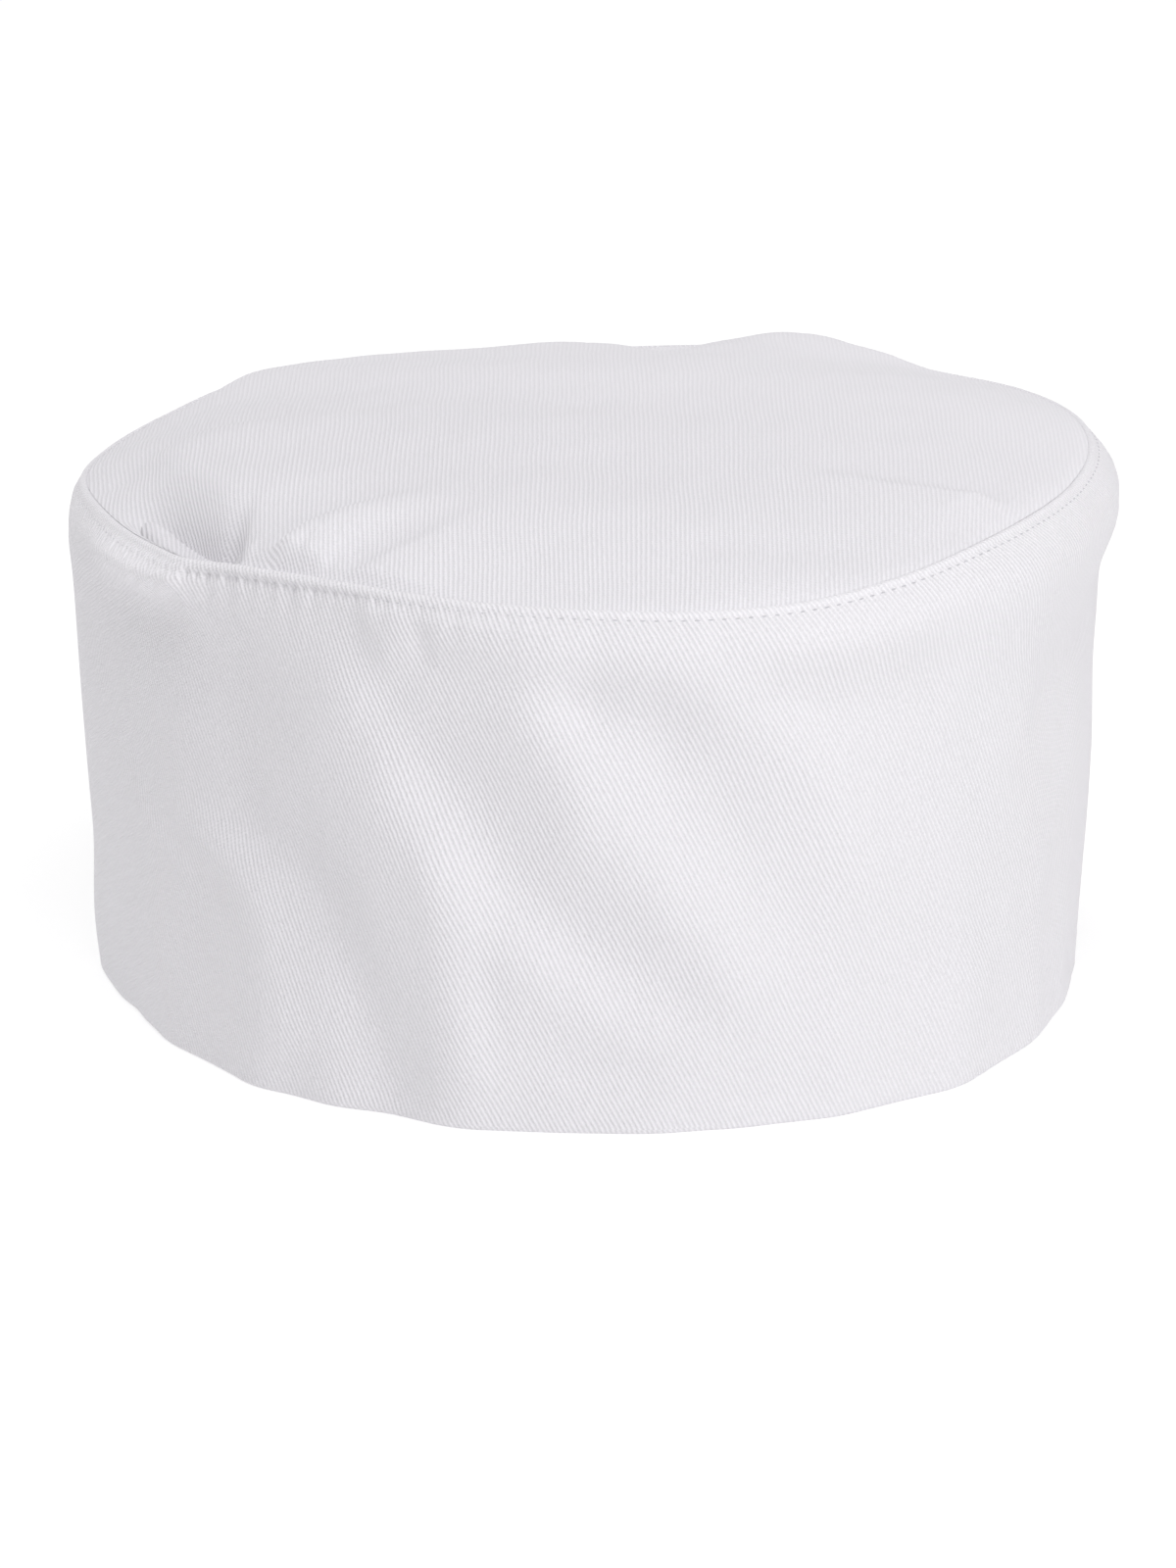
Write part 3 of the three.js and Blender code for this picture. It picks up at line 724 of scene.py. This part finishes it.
bandDrill = dict(
    colour=(0.856, 0.839, 0.874),
    shade=0.87,                 # painted shade: tone of the hollows between ribs, as a share of the colour
    ribPitch=0.87,              # across the ribs
    ribAngle=-63.9,             # which way the ribs run, in the cloth's own flat coordinates
    weftPitch=0.65,
    relief=0.15,
    roughness=0.82,             # of the ribs
    hollowRoughness=0.08,       # hollows between the ribs are rougher by this
    sheen=0.12,
    sheenRoughness=0.5,
    specular=0.3,
    # noise: patches to a millimetre, and how fine it is within them
    driftNoise=(0.035, 1.0),    # slow drift of the yarns
    slubNoise=(0.9, 2.0),       # thick and thin places of a yarn
    fuzzNoise=(3.2, 1.0),       # loose fibres
    ribDrift=1.2,               # drift moves the ribs by this many pitches
    ribSlub=0.2,                # and slubs move them by this
    pickSlub=0.5,
    ribLeast=0.65,              # height of the thinnest ribs
    ribSwell=0.7,               # slubs make them higher by this
    pickRise=0.22,
    fuzzRise=0.55,
    ribTone=0.75,               # how much the painted hollow shade follows the ribs
    fuzzTone=0.5,
    toneSpan=(0.1, 1.1),        # tones between which the cloth goes from dark to light
    # the bump and the painted hollow shade stand out by this much in the middle, more or less per
    # metre along X, Y, Z
    # so the painted shade between ribs changes across the cap with the light
    stand=1.1,
    standSlope=(-0.8, 0.0, 2.5),
    standHeight=0.05,           # metres, the middle's height
    standLeast=0.35,
)
panelDrill = dict(
    bandDrill,
    colour=(0.845, 0.828, 0.866),
    shade=0.84,
    ribAngle=90.0,
    weftPitch=0.75,
    relief=0.12,
    stand=0.8,
    standSlope=(-3.0, -6.5, 0.0),
)


def clothNoise(r, flat, patches, detail):
    return r.node(
        "ShaderNodeTexNoise",
        {"noise_dimensions": "2D"},
        {"Vector": flat, "Scale": patches, "Detail": detail},
    )


def makeDrill(name, d):
    # twill: slanting ribs crossed by finer weft yarns, a little irregular as woven cotton is
    r = Recipe(name)
    flat = r.node("ShaderNodeUVMap", {"uv_map": "cloth"})
    inMm = r.node("ShaderNodeVectorMath", {"operation": "SCALE"}, {0: flat, "Scale": 1 / mm})
    u = r.node("ShaderNodeSeparateXYZ", inputs={0: inMm})
    v = u.other("Y")
    drift = clothNoise(r, inMm, *d["driftNoise"])
    slub = clothNoise(r, inMm, *d["slubNoise"])
    fuzz = clothNoise(r, inMm, *d["fuzzNoise"])
    way = math.radians(d["ribAngle"])
    across = u * -math.sin(way) + v * math.cos(way)
    along = u * math.cos(way) + v * math.sin(way)
    fullTurn = 2 * math.pi
    ribPlace = across * (1 / d["ribPitch"]) + drift * d["ribDrift"] + slub * d["ribSlub"]
    ribs = r.wave(ribPlace * fullTurn) * 0.5 + 0.5
    picks = r.wave((along * (1 / d["weftPitch"]) + slub * d["pickSlub"]) * fullTurn)
    strength = d["ribLeast"] + slub * d["ribSwell"]
    here = r.node("ShaderNodeTexCoord", output="Object")
    slope = r.node(
        "ShaderNodeVectorMath",
        {"operation": "DOT_PRODUCT"},
        {0: here, 1: d["standSlope"]},
        output="Value",
    )
    level = d["stand"] - d["standSlope"][2] * d["standHeight"]
    stand = r.math("MAXIMUM", slope + level, d["standLeast"])
    height = ribs * strength + picks * d["pickRise"] + fuzz * d["fuzzRise"]
    height = height * r.math("MINIMUM", stand, 1.0)
    tone = ribs * d["ribTone"] + fuzz * d["fuzzTone"]
    darkest, lightest = d["toneSpan"]
    fullTone = r.node(
        "ShaderNodeMapRange",
        inputs={"Value": tone, "From Min": darkest, "From Max": lightest},
    )
    # painted shade between the ribs, scaled by stand
    toneRange = (fullTone - 0.5) * stand + 0.5
    hollowShade = [channel * d["shade"] for channel in d["colour"]] + [1]
    colour = r.node(            # inputs 6 and 7 and output 2 are the node's colours
        "ShaderNodeMix",
        {"data_type": "RGBA"},
        {"Factor": toneRange, 6: hollowShade, 7: list(d["colour"]) + [1]},
        output=2,
    )
    # painted light: the colour is made lighter by the mesh's painted-light layer
    paintedLight = r.node("ShaderNodeAttribute", {"attribute_name": "paintedLight"}, output="Fac")
    withPaintedLight = r.node("ShaderNodeVectorMath", {"operation": "SCALE"}, {0: colour, "Scale": paintedLight + 1.0})
    bump = r.node(
        "ShaderNodeBump",
        inputs={"Height": height, "Distance": d["relief"] * mm, "Strength": 1.0},
    )
    rougher = d["hollowRoughness"]
    r.feed(r.shader.inputs["Base Color"], withPaintedLight)
    r.feed(r.shader.inputs["Normal"], bump)
    r.feed(r.shader.inputs["Roughness"], toneRange * -rougher + (d["roughness"] + rougher))
    r.shader.inputs["Sheen Weight"].default_value = d["sheen"]
    r.shader.inputs["Sheen Roughness"].default_value = d["sheenRoughness"]
    r.shader.inputs["Specular IOR Level"].default_value = d["specular"]
    return r.material


threadLook = dict(
    # painted shade: the thread is coloured darker than the white cloth, standing for the shade of
    # the slot it sits in
    colour=(0.66, 0.65, 0.69, 1),
    roughness=0.6,
    twist=0.28,
    unevenTwist=1.5,
    relief=0.04,
)


def makeThread(t):
    # spun thread: fine slanting turns of yarn
    r = Recipe("sewing_thread")
    here = r.node("ShaderNodeTexCoord", output="Object")
    inMm = r.node("ShaderNodeVectorMath", {"operation": "SCALE"}, {0: here, "Scale": 1 / mm})
    turns = r.node(
        "ShaderNodeTexWave",
        {"bands_direction": "DIAGONAL"},
        {"Vector": inMm, "Scale": 1 / t["twist"], "Distortion": t["unevenTwist"]},
        output="Fac",
    )
    bump = r.node("ShaderNodeBump", inputs={"Height": turns, "Distance": t["relief"] * mm})
    r.feed(r.shader.inputs["Base Color"], t["colour"])
    r.feed(r.shader.inputs["Normal"], bump)
    r.shader.inputs["Roughness"].default_value = t["roughness"]
    return r.material


bandPiece.data.materials.append(makeDrill("band_drill", bandDrill))
panelPiece.data.materials.append(makeDrill("panel_drill", panelDrill))
thread = makeThread(threadLook)
print("materials made")


# Topstitching, a row of short stitches that follows the band's upper edge

stitching = dict(
    length=1.4,
    radius=0.17,
    sunk=0.06,                  # how far the thread's middle lies under the cloth's face
    variation=0.12,             # the smallest stitches are smaller by this share
    seed=4,
    sides=8,
    rings=6,
)


def stitchTree(s, material):
    tree = bpy.data.node_groups.new("stitch_row", "GeometryNodeTree")
    tree.interface.new_socket("Path", in_out="INPUT", socket_type="NodeSocketGeometry")
    for label, kind in (
        ("Stitch length", "NodeSocketFloat"),
        ("Thread radius", "NodeSocketFloat"),
        ("Variation", "NodeSocketFloat"),
        ("Seed", "NodeSocketInt"),
    ):
        tree.interface.new_socket(label, in_out="INPUT", socket_type=kind)
    tree.interface.new_socket("Stitches", in_out="OUTPUT", socket_type="NodeSocketGeometry")

    def node(kind, settings=None, **inputs):
        made = tree.nodes.new(kind)
        for name, value in (settings or {}).items():
            setattr(made, name, value)
        for name, value in inputs.items():
            socket = made.inputs[name.replace("_", " ")]
            if isinstance(value, bpy.types.NodeSocket):
                tree.links.new(value, socket)
            else:
                socket.default_value = value
        return made

    given = node("NodeGroupInput").outputs
    curve = node("GeometryNodeMeshToCurve", Mesh=given["Path"]).outputs["Curve"]
    rows = node("GeometryNodeCurveToPoints", {"mode": "EVALUATED"}, Curve=curve).outputs
    aim = node("FunctionNodeAlignRotationToVector", {"axis": "X"}, Vector=rows["Tangent"])
    half = node("ShaderNodeMath", {"operation": "MULTIPLY"})
    tree.links.new(given["Stitch length"], half.inputs[0])
    half.inputs[1].default_value = 0.5
    radius = given["Thread radius"]
    size = node("ShaderNodeCombineXYZ", X=half.outputs[0], Y=radius, Z=radius).outputs[0]
    ball = node(
        "GeometryNodeMeshUVSphere", Segments=s["sides"], Rings=s["rings"], Radius=1.0,
    ).outputs["Mesh"]
    capsule = node("GeometryNodeTransform", Geometry=ball, Scale=size).outputs["Geometry"]
    rounded = node("GeometryNodeSetShadeSmooth", Geometry=capsule).outputs["Geometry"]
    spread = node("ShaderNodeMath", {"operation": "SUBTRACT"})
    spread.inputs[0].default_value = 1.0
    tree.links.new(given["Variation"], spread.inputs[1])
    chance = tree.nodes.new("FunctionNodeRandomValue")
    chance.data_type = "FLOAT"
    tree.links.new(spread.outputs[0], chance.inputs[2])
    chance.inputs[3].default_value = 1.0
    tree.links.new(given["Seed"], chance.inputs["Seed"])
    placed = node(
        "GeometryNodeInstanceOnPoints",
        Points=rows["Points"],
        Instance=rounded,
        Rotation=aim.outputs["Rotation"],
        Scale=chance.outputs[1],
    ).outputs["Instances"]
    real = node("GeometryNodeRealizeInstances", Geometry=placed).outputs["Geometry"]
    dyed = node("GeometryNodeSetMaterial", Geometry=real, Material=material).outputs["Geometry"]
    tree.links.new(dyed, node("NodeGroupOutput").inputs["Stitches"])
    return tree


def pathObject(name, rows):
    # closed lines of points, each joined into a ring of edges
    points = np.concatenate(rows)
    edges, start = [], 0
    for row in rows:
        count = len(row)
        edges += [(start + i, start + (i + 1) % count) for i in range(count)]
        start += count
    mesh = bpy.data.meshes.new(name)
    mesh.from_pydata((points * mm).tolist(), edges, [])
    line = bpy.data.objects.new(name, mesh)
    bpy.context.scene.collection.objects.link(line)
    return line


def makeStitches(s):
    turn = np.arange(bandCloth["stitchesRound"]) * 360 / bandCloth["stitchesRound"]
    nearTurn = (turn + 180) % 360 - 180
    height = aroundCap(sections, "height", turn) - stitchDepth(nearTurn)
    outside = bandSurface(nearTurn, height) - s["sunk"]
    inside = innerReach(nearTurn, height) - crownCloth["gap"] - crownCloth["wall"] + s["sunk"]
    line = pathObject("topstitching", [place(turn, outside, height), place(turn, inside, height)])
    tree = stitchTree(s, thread)
    modifier = line.modifiers.new("stitch_row", "NODES")
    modifier.node_group = tree
    values = {
        "Stitch length": s["length"] * mm,
        "Thread radius": s["radius"] * mm,
        "Variation": s["variation"],
        "Seed": s["seed"],
    }
    for item in tree.interface.items_tree:
        if item.name in values:
            modifier[item.identifier] = values[item.name]
    bpy.context.view_layer.update()
    graph = bpy.context.evaluated_depsgraph_get()
    mesh = bpy.data.meshes.new_from_object(line.evaluated_get(graph))
    line.modifiers.remove(modifier)
    line.data = mesh
    return line


stitches = makeStitches(stitching)
print("topstitching made:", len(stitches.data.polygons), "faces")


# Floor and light

studio = dict(
    floorSize=8.0,
    floorColour=(0.5, 0.5, 0.5, 1),
    floorRoughness=0.95,
    floorGlow=0.564,            # the floor's own light, which keeps it pale all over
    glowColour=(1, 1, 1, 1),
    skyColour=(1.0, 1.0, 1.0, 1),
    sky=0.547,
    # degrees round from the front, degrees up, metres away, width in metres, watts
    lights=dict(
        key=dict(around=45, up=8, away=2.5, size=1.3, power=17.1),
        front=dict(around=15, up=60, away=2.5, size=1.3, power=19.9),
        back=dict(around=-135, up=55, away=2.5, size=1.3, power=13.9),
    ),
)


def makeFloor(s):
    half = s["floorSize"] / 2
    mesh = bpy.data.meshes.new("floor")
    corners = [(-half, -half, 0), (half, -half, 0), (half, half, 0), (-half, half, 0)]
    mesh.from_pydata(corners, [], [(0, 1, 2, 3)])
    floor = bpy.data.objects.new("floor", mesh)
    bpy.context.scene.collection.objects.link(floor)
    r = Recipe("floor_paper")
    r.shader.inputs["Base Color"].default_value = s["floorColour"]
    r.shader.inputs["Roughness"].default_value = s["floorRoughness"]
    r.shader.inputs["Specular IOR Level"].default_value = 0.0
    r.shader.inputs["Emission Color"].default_value = s["glowColour"]
    r.shader.inputs["Emission Strength"].default_value = s["floorGlow"]
    mesh.materials.append(r.material)
    return floor


def makeLight(name, light):
    data = bpy.data.lights.new(name, "AREA")
    data.shape = "SQUARE"
    data.size = light["size"]
    data.energy = light["power"]
    lamp = bpy.data.objects.new(name, data)
    around, up = math.radians(light["around"]), math.radians(light["up"])
    flat = light["away"] * math.cos(up)
    height = light["away"] * math.sin(up) + cameraView["aimHeight"] * mm
    lamp.location = (flat * math.sin(around), -flat * math.cos(around), height)
    aim = -lamp.location
    aim.z += cameraView["aimHeight"] * mm
    lamp.rotation_euler = aim.to_track_quat("-Z", "Y").to_euler()
    lamp.visible_camera = False
    bpy.context.scene.collection.objects.link(lamp)


def makeSky(s):
    world = bpy.data.worlds.new("studio")
    bpy.context.scene.world = world
    world.use_nodes = True
    background = world.node_tree.nodes["Background"]
    background.inputs["Color"].default_value = s["skyColour"]
    background.inputs["Strength"].default_value = s["sky"]


makeFloor(studio)
for side, light in studio["lights"].items():
    makeLight(side + "_light", light)
makeSky(studio)
bpy.context.scene.view_settings.view_transform = "Standard"
print("studio made")


# Each piece hangs from the root body, and the frame's parts it stands for are hidden

for piece, node, slot in (
    (bandPiece, "side_band", "band_drill"),
    (panelPiece, "top_panel", "panel_drill"),
):
    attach(piece, "root")
    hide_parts(node)
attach(stitches, "root")
